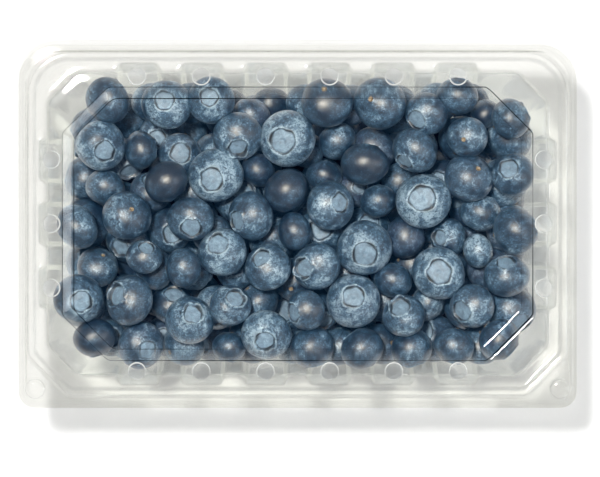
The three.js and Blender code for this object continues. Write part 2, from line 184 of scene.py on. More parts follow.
def capped(rows, flip=False):
    """Vertices and faces of a solid: closed rings of points, the first and last ring closed to its middle."""
    count, columns = rows.shape[:2]
    total = count * columns
    vertices = np.concatenate([rows.reshape(-1, 3), [rows[0].mean(0)], [rows[-1].mean(0)]])
    faces = grid_faces(count, columns, 0, flip)
    faces += fan_faces(total, 0, columns, not flip)
    faces += fan_faces(total + 1, total - columns, columns, flip)
    return vertices, faces


def merged(parts):
    """Several pairs of vertices and faces as one."""
    vertices, faces, start = [], [], 0
    for some, their_faces in parts:
        vertices.append(np.asarray(some))
        faces += [[i + start for i in face] for face in their_faces]
        start += len(some)
    return np.concatenate(vertices), faces


def bend(before, at, after, cut, steps):
    """Points of a smooth bend at a corner, which leaves the lines to its neighbours cut away from it."""
    def towards(other):
        away = other - at
        gap = np.linalg.norm(away, axis=-1, keepdims=True)
        return at + away * np.minimum(cut / np.maximum(gap, 1e-9), 0.48)
    start, end = towards(before), towards(after)
    t = np.linspace(0, 1, steps).reshape([-1] + [1] * np.ndim(at))
    return (1 - t) ** 2 * start + 2 * t * (1 - t) * at + t ** 2 * end


def full_turn(steps):
    """Angles spaced evenly round a circle."""
    return np.arange(steps) / steps * 2 * math.pi


def around(angles, radius, z, x=0.0, y=0.0):
    """A ring of points about an upright axis."""
    z = np.broadcast_to(z, len(angles))
    return np.column_stack([x + radius * np.cos(angles), y + radius * np.sin(angles), z])


def add(tree, kind, inputs=None, out=0, **settings):
    """Adds a node and gives back one of its outputs, or the node itself where out is None.

    inputs gives its sockets a value or a link, and settings are the node's own choices.
    """
    node = tree.nodes.new(kind)
    for name, value in settings.items():
        setattr(node, name, value)
    for key, value in (inputs or {}).items():
        if isinstance(value, bpy.types.NodeSocket):
            tree.links.new(value, node.inputs[key])
        else:
            node.inputs[key].default_value = value
    return node if out is None else node.outputs[out]


def new_material(name):
    material = bpy.data.materials.new(name)
    material.use_nodes = True
    material.node_tree.nodes.clear()
    return material, material.node_tree


def finished(material, surface):
    add(material.node_tree, "ShaderNodeOutputMaterial", {"Surface": surface}, None)
    return material


def per(size):
    """The scale at which a pattern repeats about every size metres."""
    return 1 / size


def rgba(rgb, share=1):
    """A colour for a socket, darkened to a share of itself."""
    return (*[c * share for c in rgb], 1)


# ---- Plastic ------------------------------------------------------------------------------------

LONG_FLUTES, SHORT_FLUTES = 6, 3
FLUTE_EDGES = 1.25 * MM, -0.35 * MM  # added to half a flute's width at the wall and at its crest
FLUTE_NARROWS = 0.8  # share of an inset that half a flute's width loses
FLUTE_LEAST = 1.5 * MM
FLUTE_CUT, FLUTE_STEPS = 0.95 * MM, 4  # size and points of its bends
CORNER_STEPS = 7
ROUNDED = 2 - math.sqrt(2)  # legs of a corner of two bends that comes close to an arc, over the arc's radius
WALL_LEG = 9.6 * MM
SHELF_SIZE = 164.2 * MM, 99.4 * MM
BEAD_FOOT, BEAD_CROWN = 3.4 * MM, 1.8 * MM
FLOOR_BEVEL = 3 * MM
PAD_RISE = 0.8 * MM  # the middle of the floor stands clear of the table
RIB_HEIGHT = 0.3 * MM  # of the fine rib round the lid's flange
NEST = 0.75  # height of the tray's own bead over the lid's, which it sits in
BUTTON_PLACE = 86.6 * MM, -54.4 * MM
VENT_INSET = 1.9 * MM
FOLD_HALF = 75 * MM  # half the length of the fold
SHARP_FROM = 38  # degrees between faces that show as an edge


def corner(radius=None, leg=None, cut=2.2 * MM):
    """A corner of an outline: an arc of that radius, or a chamfer with legs of that length and soft ends."""
    if radius:
        return {"leg": radius * ROUNDED, "cut": radius * (1 - ROUNDED), "shrinks": 1 - ROUNDED}
    return {"leg": leg, "cut": cut, "shrinks": 0}


def outline(size_x, size_y, front_corner, back_corner, flute=0, back=None):
    return {
        "x": size_x / 2, "front": size_y / 2, "back": size_y / 2 if back is None else back,
        "corners": [front_corner, back_corner, back_corner, front_corner], "flute": flute,
    }


def ring(shape, z, inset, sizes):
    """An outline at a height, moved inward by inset. All rings have the same stations, so any two join up."""
    half = max(sizes.flute_width / 2 - FLUTE_NARROWS * inset, FLUTE_LEAST)
    reaches = [shape[side] - inset for side in ("front", "x", "back", "x")]
    stations = []
    for turn, (x, y) in enumerate(((0, -1), (1, 0), (0, 1), (-1, 0))):
        across, along = np.array([x, y], float), np.array([-y, x], float)
        reach, next_reach = reaches[turn], reaches[(turn + 1) % 4]
        count = (LONG_FLUTES, SHORT_FLUTES)[turn % 2]
        for i in range(count):
            middle = (i - (count - 1) / 2) * sizes.flute_pitch
            for side, out in ((-1, 0), (-1, 1), (1, 1), (1, 0)):
                place = middle + side * (half + FLUTE_EDGES[out])
                at = along * place + across * (reach + out * shape["flute"])
                stations.append((at, FLUTE_CUT, FLUTE_STEPS))
        bevel = shape["corners"][turn]
        leg, cut = bevel["leg"] - inset * ROUNDED, bevel["cut"] - inset * bevel["shrinks"]
        stations.append((along * (next_reach - leg) + across * reach, cut, CORNER_STEPS))
        stations.append((along * next_reach + across * (reach - leg), cut, CORNER_STEPS))
    flat = np.concatenate([
        bend(stations[i - 1][0], at, stations[(i + 1) % len(stations)][0], cut, steps)
        for i, (at, cut, steps) in enumerate(stations)
    ])
    return np.column_stack([flat, np.full(len(flat), z)])


def profile(rings, cuts, steps=5):
    """Rings with a smooth bend at every one that has a cut."""
    rows = [rings[0][None]]
    for i in range(1, len(rings) - 1):
        if cuts[i]:
            rows.append(bend(rings[i - 1], rings[i], rings[i + 1], cuts[i], steps))
        else:
            rows.append(rings[i][None])
    rows.append(rings[-1][None])
    return np.concatenate(rows)


def with_middle(rows, parts=5):
    """Adds rings that shrink towards the middle of the first one."""
    shares = np.linspace(0, 1, parts + 1)[1:-1]
    middle = rows[0].mean(0)
    inner = np.stack([middle + (rows[0] - middle) * s for s in shares])
    return np.concatenate([inner, rows])


def between_rings(low, high, parts):
    """The rings that divide the band between two rings."""
    return [low + (high - low) * (i / parts) for i in range(1, parts)]


def sway(points):
    """How uneven the moulded sheet is, from 0 to 1, at each point."""
    x, y, z = np.moveaxis(points / MM, -1, 0)
    waves = np.sin(x / 11 + z / 17) + np.sin(y / 9 - x / 23 + 1.3) + np.sin((x + y + z) / 31 + 0.4)
    return (waves + 3) / 6


def normals_of(rows):
    """The outward normal at every point of a grid of closed rings."""
    along = np.roll(rows, -1, 1) - np.roll(rows, 1, 1)
    down = np.empty_like(rows)
    down[1:-1] = rows[2:] - rows[:-2]
    down[0] = rows[1] - rows[0]
    down[-1] = rows[-1] - rows[-2]
    normal = np.cross(along, down)
    return normal / np.maximum(np.linalg.norm(normal, axis=-1, keepdims=True), 1e-12)


def shell(rows, thickness, outward, unevenness=0.12 * MM):
    """Vertices and faces of a closed sheet. rows is its outer face, from the middle to the rim.

    outward is 1 where that face looks up at its middle and -1 where it looks down.
    """
    normal = normals_of(rows)
    normal *= np.sign(normal[0, 0, 2]) * outward
    rows = rows - normal * (sway(rows) * unevenness)[..., None]
    inner = rows - normal * thickness
    count, columns = rows.shape[:2]
    second = count * columns
    middles = [rows[0].mean(0)], [inner[0].mean(0)]
    vertices = np.concatenate([rows.reshape(-1, 3), inner.reshape(-1, 3), *middles])
    turned = outward < 0
    faces = grid_faces(count, columns, 0, not turned)
    faces += grid_faces(count, columns, second, turned)
    faces += fan_faces(2 * second, 0, columns, turned)
    faces += fan_faces(2 * second + 1, second, columns, not turned)
    last = np.arange(columns) + (count - 1) * columns
    following = np.roll(last, -1)
    rim = np.stack([last, following, following + second, last + second], 1)
    faces += (rim if turned else rim[:, ::-1]).tolist()
    return vertices, faces


def turned_solid(x, y, profile_points, columns=40):
    """Vertices and faces of a solid turned about an upright axis, from points (radius, z), lowest first."""
    angles = full_turn(columns)
    return capped(np.array([around(angles, radius, z, x, y) for radius, z in profile_points]))


def tube(path, radius, sides):
    """Vertices and faces of a closed tube along a closed path. radius has a number for each point."""
    ahead = np.roll(path, -1, 0) - np.roll(path, 1, 0)
    ahead /= np.linalg.norm(ahead, axis=1, keepdims=True)
    flat = np.cross(ahead, [0, 0, 1.0])
    flat /= np.linalg.norm(flat, axis=1, keepdims=True)
    up = np.cross(flat, ahead)
    rows = np.array([
        path + radius[:, None] * (math.cos(angle) * flat + math.sin(angle) * up) for angle in full_turn(sides)
    ])
    count = len(path)
    a = np.arange(sides * count)
    side, beside, station, next_station = a // count, (a // count + 1) % sides, a % count, (a + 1) % count
    quads = [a, side * count + next_station, beside * count + next_station, beside * count + station]
    return rows.reshape(-1, 3), np.stack(quads, 1).tolist()


def combine(piece, operation, vertices, faces):
    """Joins solids to a piece or cuts them out of it."""
    tool = mesh_piece("tool", vertices, faces, piece.data.materials[0])
    modifier = piece.modifiers.new(operation, "BOOLEAN")
    modifier.operation = operation
    modifier.solver = "MANIFOLD"
    modifier.object = tool
    bpy.context.view_layer.update()
    result = bpy.data.meshes.new_from_object(piece.evaluated_get(bpy.context.evaluated_depsgraph_get()))
    if len(result.polygons) < len(piece.data.polygons) / 2:
        raise RuntimeError(f"{piece.name}: {operation} failed")
    piece.modifiers.clear()
    piece.data = result
    bpy.data.objects.remove(tool)
    result.shade_smooth()
    result.set_sharp_from_angle(angle=math.radians(SHARP_FROM))


def heights(sizes):
    """The named heights of the pack."""
    return {
        "rim": LID_LOW.z - sizes.gap, "underside": LID_LOW.z, "flange_top": LID_LOW.z + sizes.sheet,
        "shelf": LID_HIGH.z, "panel": LID_HIGH.z - sizes.panel_depth,
    }


def wall_outline(sizes):
    chamfer = corner(leg=WALL_LEG)
    return outline(WALL_MM[0] * MM, WALL_MM[1] * MM, chamfer, chamfer, sizes.flute_depth)


def panel_outline():
    chamfer = corner(leg=15 * MM, cut=2.6 * MM)
    return outline(154.2 * MM, 89.8 * MM, chamfer, chamfer)


def flange_outline(back=None):
    size_x, size_y = TRAY_HIGH.x - TRAY_LOW.x, TRAY_HIGH.y - TRAY_LOW.y
    return outline(size_x, size_y, corner(radius=5.5 * MM), corner(radius=12.5 * MM), back=back)


def bead_rings(sizes, base, height):
    """The bead that runs round a flange: its inner foot, its crown and its outer foot."""
    bead = outline(172.4 * MM, 107.8 * MM, corner(leg=11.5 * MM, cut=1.6 * MM), corner(radius=11 * MM))
    slope = (BEAD_FOOT - BEAD_CROWN) / 2
    rises = (0, 0), (height, -slope), (height, -slope - BEAD_CROWN), (0, -BEAD_FOOT)
    return [ring(bead, base + rise, inset, sizes) for rise, inset in rises]


def tray_rows(sizes):
    """The tray's outer face, from the middle of its floor to the edge of its flange."""
    low = heights(sizes)["rim"] - sizes.sheet
    chamfer = corner(leg=12 * MM)
    floor = outline(FLOOR_MM[0] * MM, FLOOR_MM[1] * MM, chamfer, chamfer, sizes.flute_depth / 2)
    inset = FLOOR_BEVEL - sizes.sheet / 2
    base, foot = ring(floor, 0, inset, sizes), ring(floor, FLOOR_BEVEL, 0, sizes)
    top = ring(wall_outline(sizes), low, 0, sizes)
    plain = {**floor, "flute": 0}
    pad = [
        ring(plain, rise, inset + further, sizes)
        for rise, further in ((PAD_RISE, 7.0 * MM), (PAD_RISE, 5.0 * MM), (0, 3.4 * MM))
    ]
    bead = bead_rings(sizes, low, sizes.bead_height * NEST)
    walls = between_rings(foot, top, 6)
    rings = [*pad, base, foot, *walls, top, *bead, ring(flange_outline(), low, 0, sizes)]
    cuts = [0, 0.7 * MM, 0.7 * MM, 1.3 * MM, 1.3 * MM, *[0] * len(walls), 1.0 * MM, *[0.7 * MM] * 4, 0]
    return with_middle(profile(rings, cuts))


def lid_rows(sizes):
    """The lid's outer face, from the middle of its panel to the edge of its flange."""
    at, chamfer = heights(sizes), corner(leg=WALL_LEG)
    top, panel, bevel = at["flange_top"], panel_outline(), sizes.panel_bevel
    fold_y = TRAY_HIGH.y - sizes.fold_radius
    flange = flange_outline(fold_y - sizes.fold_radius - sizes.gap)
    brim = ring(outline(*SHELF_SIZE, chamfer, chamfer), at["shelf"], 0, sizes)
    foot = ring(wall_outline(sizes), top, 0, sizes)
    walls = between_rings(brim, foot, 3)
    rib = [
        ring(flange, top + rise, inset, sizes)
        for inset, rise in ((2.6 * MM, 0), (2.2 * MM, RIB_HEIGHT), (1.5 * MM, RIB_HEIGHT), (1.1 * MM, 0))
    ]
    rings = [
        ring(panel, at["panel"], bevel + 2 * MM, sizes), ring(panel, at["panel"], bevel, sizes),
        ring(panel, at["shelf"], 0, sizes), brim, *walls, foot, *bead_rings(sizes, top, sizes.bead_height),
        *rib, ring(flange, top, 0, sizes),
    ]
    cuts = [0, 1.1 * MM, 1.1 * MM, 1.2 * MM, *[0] * len(walls), 1.1 * MM]
    cuts += [0.7 * MM] * 4 + [0.2 * MM] * 4 + [0]
    return with_middle(profile(rings, cuts))


def painted_crease_threads(sizes):
    """The tight creases round the lid's sunk panel, where its slope leaves the shelf and meets the panel.

    Each is a fine thread inside the sheet, which carries the crease's painted dark line. Its width changes on
    the way, with place and with a slow wave.
    """
    at = heights(sizes)
    threads = []
    for z, inset, even, to_right, to_back in (
        (at["shelf"], 0, 0.7, 0.3, 0),
        (at["panel"], sizes.panel_bevel, 0.2, -0.6, 0.3),
    ):
        path = ring(panel_outline(), z - 0.5 * sizes.sheet, inset + 0.2 * MM, sizes)
        x, y = path[:, 0], path[:, 1]
        line_weight = np.clip(even + to_right * x / x.max() + to_back * y / y.max(), 0, 1)
        swell = 0.6 + 0.4 * np.sin(x / (19 * MM) + y / (13 * MM))
        threads.append(tube(path, 0.03 * MM + 0.19 * MM * line_weight * swell, 6))
    return threads


def dome(radius, height, base):
    """Profile of a snap button: a low cone with a round shoulder and top, from (radius, z) at its foot."""
    points = [(radius, base), (0.94 * radius, base + 0.45 * height)]
    for angle in np.linspace(0, math.pi / 2, 7):
        narrow = 0.9 * radius - 0.55 * radius * (1 - math.cos(angle))
        points.append((narrow, base + height * (0.62 + 0.38 * math.sin(angle))))
    return points


def vent_places(sizes):
    """The middles of the air holes, one above each flute."""
    wall = wall_outline(sizes)
    places = []
    for side in (-1, 1):
        for count, reach in ((LONG_FLUTES, wall["front"]), (SHORT_FLUTES, wall["x"])):
            out = side * (reach - VENT_INSET)
            for i in range(count):
                middle = (i - (count - 1) / 2) * sizes.flute_pitch
                places.append((middle, out) if count == LONG_FLUTES else (out, middle))
    return places


def vent_lip(x, y, sizes):
    """The punched edge of an air hole, which follows the lid from its shelf down the flute. It is thickest on
    the side towards the lid's middle, where its painted glint shows.
    """
    at = heights(sizes)
    radius = sizes.vent_diameter / 2 + 0.02 * MM
    path = around(full_turn(48), radius, at["shelf"] - 0.3 * MM, x, y)
    axis = int(abs(y) > 0.4 * SHELF_SIZE[1])
    out, middle = path[:, axis], (x, y)[axis]
    slope = (at["shelf"] - at["flange_top"]) / (sizes.flute_depth + 0.5 * MM)
    path[:, 2] -= np.maximum(np.abs(out) - SHELF_SIZE[axis] / 2, 0) * slope
    inward = -np.sign(middle) * (out - middle) / radius
    # Thicker on the side towards the lid's middle, where the painted glint shows
    return tube(path, 0.08 * MM + 0.2 * MM * np.clip(0.3 + inward, 0, 1), 8)


def clear_sheet(sizes):
    """Polyethylene terephthalate, thermoformed over a chilled mould.

    Its faces stay as glossy as the roll it came from, so it shows as thin bright and dark lines along its
    bends. The walls are drawn down the mould and lose some of that gloss, so they mirror less and the fruit
    shows clearly. Light from the lamps passes and leaves a pale shadow, which is darker under the flanges,
    because they weren't drawn and are thicker, and under walls that the light grazes.
    """
    material, tree = new_material("PET_sheet_thermoformed")
    place = add(tree, "ShaderNodeTexCoord", out=None).outputs
    height = add(tree, "ShaderNodeSeparateXYZ", {0: place["Object"]}, "Z")
    level = add(tree, "ShaderNodeMath", {0: height, 1: heights(sizes)["underside"]}, operation="SUBTRACT")
    off_flange = add(tree, "ShaderNodeMath", {0: level}, operation="ABSOLUTE")
    drawn = add(tree, "ShaderNodeMapRange", {"Value": off_flange, "From Min": 2.2 * MM, "From Max": 4.5 * MM})
    facing_up = add(tree, "ShaderNodeSeparateXYZ", {0: place["Normal"]}, "Z")
    lying = add(tree, "ShaderNodeMath", {0: facing_up}, operation="ABSOLUTE")
    kept_gloss = add(tree, "ShaderNodeMapRange", {
        "Value": lying, "From Min": 0.2, "From Max": 0.45, "To Min": 0.4, "To Max": 1.0,
    })
    ripple = add(tree, "ShaderNodeTexNoise", {"Vector": place["Object"], "Scale": per(9 * MM), "Detail": 1.0})
    bump = add(tree, "ShaderNodeBump", {"Height": ripple, "Strength": 0.25, "Distance": 0.06 * MM})
    graze = add(tree, "ShaderNodeLayerWeight", {"Blend": 0.5}, "Facing")
    steep = add(tree, "ShaderNodeMath", {0: graze, 1: 5.0}, operation="POWER")
    sloped = add(tree, "ShaderNodeMapRange", {"Value": graze, "From Min": 0.01, "From Max": 0.10})
    head_on = add(tree, "ShaderNodeMath", {0: sloped, 1: 0.045, 2: 0.015}, operation="MULTIPLY_ADD")
    duller = add(tree, "ShaderNodeMath", {0: head_on, 1: kept_gloss}, operation="MULTIPLY")
    mirror = add(tree, "ShaderNodeMath", {0: steep, 1: 0.6, 2: duller}, operation="MULTIPLY_ADD")
    passes = []
    for flange, elsewhere in ((sizes.flange_tint, sizes.tint), (sizes.flange_shade, sizes.shade)):
        layers = {6: rgba(flange), 7: rgba(elsewhere)}
        by_drawing = add(tree, "ShaderNodeMix", {0: drawn, **layers}, 2, data_type="RGBA")
        edge_on = {0: steep, 6: by_drawing, 7: rgba(sizes.edge_shade)}
        passed = add(tree, "ShaderNodeMix", edge_on, 2, data_type="RGBA")
        passes.append(add(tree, "ShaderNodeBsdfTransparent", {"Color": passed}))
    to_view, to_lamps = passes
    gloss = add(tree, "ShaderNodeBsdfGlossy", {"Color": rgba(sizes.sheen), "Roughness": 0.03, "Normal": bump})
    film = add(tree, "ShaderNodeMixShader", {0: mirror, 1: to_view, 2: gloss})
    bulk = add(tree, "ShaderNodeBsdfGlass", {
        "Color": rgba(sizes.tint), "Roughness": 0.02, "IOR": 1.15, "Normal": bump,
    })
    sheet = add(tree, "ShaderNodeMixShader", {0: 0.2, 1: film, 2: bulk})
    lamp_ray = add(tree, "ShaderNodeLightPath", out="Is Shadow Ray")
    return finished(material, add(tree, "ShaderNodeMixShader", {0: lamp_ray, 1: sheet, 2: to_lamps}))


def painted_edge_glint(sizes):
    """Polyethylene terephthalate, punched cold.

    Its lip is painted near white and half see-through, a painted highlight standing in for the glint the
    punched edge catches, so it shows as a fine white line round each hole.
    """
    material, tree = new_material("PET_edge_painted_glint")
    looks = {"Base Color": rgba(sizes.painted_edge_glint), "Roughness": 0.25, "Alpha": 0.6}
    return finished(material, add(tree, "ShaderNodeBsdfPrincipled", looks))


def painted_crease_sheet(sizes):
    """Polyethylene terephthalate, pulled into a tight crease of the mould.

    A crease bends the view aside like a thin lens, so it shows as a line darker than what lies under it. That
    dark line is painted here, as a darker tint on the view through the crease threads, while the lamps' light
    passes them as through the clear sheet.
    """
    material, tree = new_material("PET_crease_painted_line")
    lamp_ray = add(tree, "ShaderNodeLightPath", out="Is Shadow Ray")
    # Painted shade on the view only; the lamps' light gets the clear sheet's tint
    tints = {0: lamp_ray, 6: rgba(sizes.painted_crease_tint), 7: rgba(sizes.tint)}
    passed = add(tree, "ShaderNodeMix", tints, 2, data_type="RGBA")
    return finished(material, add(tree, "ShaderNodeBsdfTransparent", {"Color": passed}))


# ---- Packing the fruit --------------------------------------------------------------------------
# In millimetres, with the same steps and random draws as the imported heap.

SEED = 20261
LAYERS = 4
LAYER_RISE = 12.1
ROW_SPACING = 16.5
ROW_SQUEEZE = 0.87  # spacing of the rows over that of the berries in a row
SCATTER = 2.5
LEAN = 0.7  # the most that the crown of a berry below leans to X or Y
TOP_FALL = 12  # from the highest of the uppermost berries to the lowest
TOP_HOMING, TOP_LOOSE = 0.25, 0.3  # how far these go back and give way sideways in a round of settling
SETTLE_ROUNDS = 160
SETTLE_EASE = 0.8
BERRY_SMALL, BERRY_LARGE = 6.2, 8.6
BULGE = 1.01  # the room an uneven berry takes over its radius
CLEARANCE = 0.5
HEADSPACE = 5
OPEN_CORNER = 24, 14  # legs of the corners that stay empty, at the floor and at the rim
PANEL_UNDERSIDE = 72.6
CORE_INSET = 9.5  # from the walls to the core, which the berries that show cover
SHOWN_FROM = 29  # every berry higher than this is made
HEAP_TOP = PANEL_UNDERSIDE - HEADSPACE
HEAP_FLOOR = SHEET_MM + CLEARANCE

# The berries that lie uppermost, highest first: x, y, radius, how far the crown leans to +X and +Y (0 is
# straight up, 1 level), what shows, how much bloom is left on it and how violet it is. For "scar" the
# stalk's side is up, and for "plain" neither end shows.
TOP_BERRIES = [
    (-3.5, 28.1, 9.5, -0.24, -0.11, "crown", 0.80, 0),
    (-26.4, 17.2, 9.2, -0.17, -0.17, "crown", 0.85, 0),
    (41.9, 8.2, 9.3, -0.09, 0.06, "crown", 0.85, 0),
    (47.0, -16.9, 9.0, 0, 0.05, "crown", 0.72, 0),
    (18.3, -25.6, 9.1, 0, 0.26, "crown", 0.78, 0.3),
    (22.3, -8.5, 9.3, 0.03, -0.27, "crown", 0.75, 0.2),
    (-10.8, -36.3, 8.4, -0.03, -0.33, "star", 0.75, 0),
    (-35.1, -31.8, 8.1, 0.21, 0.35, "star", 0.68, 0),
    (-64.4, 26.3, 8.5, 0.26, -0.26, "crown", 0.70, 0),
    (-42.5, 39.7, 8.5, -0.05, 0.16, "crown", 0.70, 0),
    (10.2, 6.2, 8.3, 0.5, 0.12, "crown", 0.62, 0),
    (6.3, -13.8, 8.3, -0.65, -0.1, "star", 0.62, 0),
    (-10.2, -13.8, 8.2, -0.35, 0.5, "crown", 0.66, 0),
    (-24.3, -8.3, 8.3, -0.27, 0.43, "crown", 0.72, 0),
    (-22.9, -27.1, 7.1, 0.35, 0.43, "star", 0.62, 0),
    (-55.5, -25.2, 8.4, -0.67, 0.27, "star", 0.52, 0.2),
    (-72.0, -25.2, 8.5, 0.16, -0.13, "crown", 0.55, 0),
    (-57.0, 3.1, 8.3, -0.28, -0.32, "scar", 0.52, 0),
    (56.4, 15.1, 8.3, -0.41, -0.4, "scar", 0.46, 0.2),
    (39.0, 25.0, 7.8, -0.55, -0.6, "crown", 0.50, 0),
    (27.1, 39.8, 8.9, 0.39, -0.15, "scar", 0.52, 0),
    (9.9, 40.8, 8.7, 0.13, -0.57, "scar", 0.28, 0),
    (43.3, 36.1, 7.4, -0.6, -0.4, "crown", 0.42, 0),
    (-20.4, 28.3, 8.3, 0.05, -0.6, "star", 0.58, 0),
    (-42.6, 14.2, 7.7, 0.6, -0.8, "plain", 0.03, 0),
    (-35.3, 1.6, 7.7, 0.05, -0.5, "crown", 0.45, 0),
    (-37.4, -14.4, 6.6, 1, 0, "plain", 0.40, 0),
    (-50.6, -11.1, 6.1, 0.2, 0.68, "crown", 0.50, 0),
    (68.6, -16.6, 7.7, -0.08, 0.75, "crown", 0.48, 0),
    (57.3, -26.7, 7.7, -0.6, -0.3, "crown", 0.58, 0),
    (35.5, -31.5, 7.3, -0.27, 0.57, "star", 0.66, 0),
    (35.5, -4.2, 7.4, -0.98, 0.2, "plain", 0.35, 0.6),
    (22.1, 19.8, 8.3, 0.1, 1, "plain", 0.20, 0),
    (-14.8, 2.6, 8.3, -0.75, -0.25, "crown", 0.50, 0),
    (-4.6, 10.1, 7.7, 0.41, -0.91, "plain", 0.12, 0.1),
    (3.0, -28.5, 6.9, -0.8, -0.2, "crown", 0.45, 0),
    (-29.0, 41.3, 8.0, -0.1, 0.1, "crown", 0.62, 0),
    (4.7, -43.1, 7.7, 0.2, -0.98, "plain", 0.42, 0),
    (69.9, 34.7, 6.9, 0.89, 0.45, "plain", 0.50, 0),
    (51.3, 43.2, 6.9, 0.2, 0.98, "plain", 0.36, 0),
    (71.4, -2.5, 8.2, 0.98, 0.2, "plain", 0.45, 0),
    (70.6, 16.2, 7.2, -0.3, 0.38, "crown", 0.50, 0),
    (56.0, 28.1, 6.9, 0.24, 0.2, "scar", 0.48, 0),
    (-72.3, 15.7, 7.7, -0.96, 0.29, "plain", 0.50, 0),
    (-72.8, -0.9, 7.7, -0.71, -0.71, "plain", 0.58, 0),
    (-71.5, 33.9, 7.2, -0.91, -0.41, "plain", 0.60, 0.5),
    (-62.9, 41.3, 8.0, 0.8, 0.6, "plain", 0.45, 0),
    (37.5, -42.3, 7.4, 0.29, -0.96, "plain", 0.45, 0),
    (51.5, -40.3, 7.0, -0.2, -0.98, "plain", 0.50, 0),
    (66.2, -37.7, 7.4, 0.71, -0.71, "plain", 0.40, 0),
    (21.2, -41.7, 7.4, -0.6, 0.8, "plain", 0.48, 0.2),
    (-0.6, -2.5, 6.5, 0.98, 0.2, "plain", 0.40, 0),
    (13.2, 27.8, 6.6, -0.71, 0.71, "plain", 0.50, 0),
    (26.7, 7.7, 6.3, -0.41, 0.91, "plain", 0.45, 0),
    (-69.3, -38.9, 7.2, 0.29, -0.96, "plain", 0.16, 0),
    (50.2, -5.0, 6.5, -0.6, 0, "star", 0.60, 0),
    (60.4, 4.6, 6.9, 0.2, 0.98, "plain", 0.62, 0),
    (-39.2, 22.6, 7.2, 0.1, 0.1, "crown", 0.58, 0.2),
    (-63.5, 11.8, 6.9, 0.29, 0.96, "plain", 0.52, 0),
    (-52.4, 24.5, 6.6, 1, 0.1, "plain", 0.36, 0),
    (-15.5, 35.8, 6.5, 0.49, 0.87, "plain", 0.55, 1),
    (-13.5, 18.1, 6.2, 0.8, 0.6, "plain", 0.28, 0.4),
    (58.7, 42.4, 5.8, 0.91, 0.41, "plain", 0.16, 0),
    (62.3, 36.3, 5.2, 0.8, -0.6, "plain", 0.20, 0),
    (8.8, 15.7, 6.0, 0.29, 0.96, "plain", 0.40, 0.2),
    (43.3, -26.3, 6.6, 0.91, -0.41, "plain", 0.66, 0.1),
    (31.1, -18.5, 6.5, 0.41, 0.91, "plain", 0.48, 0),
    (59.8, -9.2, 5.8, 0.98, 0.2, "plain", 0.85, 0),
    (-22.4, -40.6, 5.8, -0.2, -0.98, "plain", 0.45, 0),
]


def dice(seed):
    """A small repeatable generator of numbers from 0 to 1."""
    state = seed

    def throw():
        nonlocal state
        state = (state * 1664525 + 1013904223) % 2 ** 32
        return state / 2 ** 32
    return throw


def lerp(a, b, t):
    return a + (b - a) * t


def room_at(z):
    """Half length and half width inside the walls at a height, and the legs of the corners left open."""
    t = np.clip(z / RIM_MM, 0, 1)
    half_x, half_y = [lerp(low, high, t) / 2 - SHEET_MM for low, high in zip(FLOOR_MM, WALL_MM)]
    return half_x, half_y, lerp(*OPEN_CORNER, t)


def keep_inside(at, r):
    """Moves berries inside the walls, the floor and the ceiling, and out of the open corners."""
    at[:, 2] = np.clip(at[:, 2], HEAP_FLOOR + r, HEAP_TOP - r)
    half_x, half_y, open_corner = room_at(at[:, 2])
    reach = r * BULGE + CLEARANCE
    at[:, 0] = np.clip(at[:, 0], reach - half_x, half_x - reach)
    at[:, 1] = np.clip(at[:, 1], reach - half_y, half_y - reach)
    cut = half_x + half_y - open_corner - reach * math.sqrt(2)
    excess = np.maximum(np.abs(at[:, 0]) + np.abs(at[:, 1]) - cut, 0)
    at[:, 0] -= np.sign(at[:, 0]) * excess / 2
    at[:, 1] -= np.sign(at[:, 1]) * excess / 2


def settle(at, r, homing, loose):
    """Pushes apart the berries that overlap. The uppermost ones mostly give way in height."""
    home = at.copy()
    for _ in range(SETTLE_ROUNDS):
        away = at[:, None] - at[None]
        apart = np.sqrt((away ** 2).sum(-1))
        np.fill_diagonal(apart, np.inf)
        reach = r[:, None] + r[None]
        push = 0.5 * np.maximum(reach - apart, 0) / apart
        moves = (away * push[..., None]).sum(1)
        at[:, :2] += moves[:, :2] * loose[:, None] + (home[:, :2] - at[:, :2]) * homing[:, None]
        at[:, 2] += moves[:, 2] * SETTLE_EASE
        keep_inside(at, r)


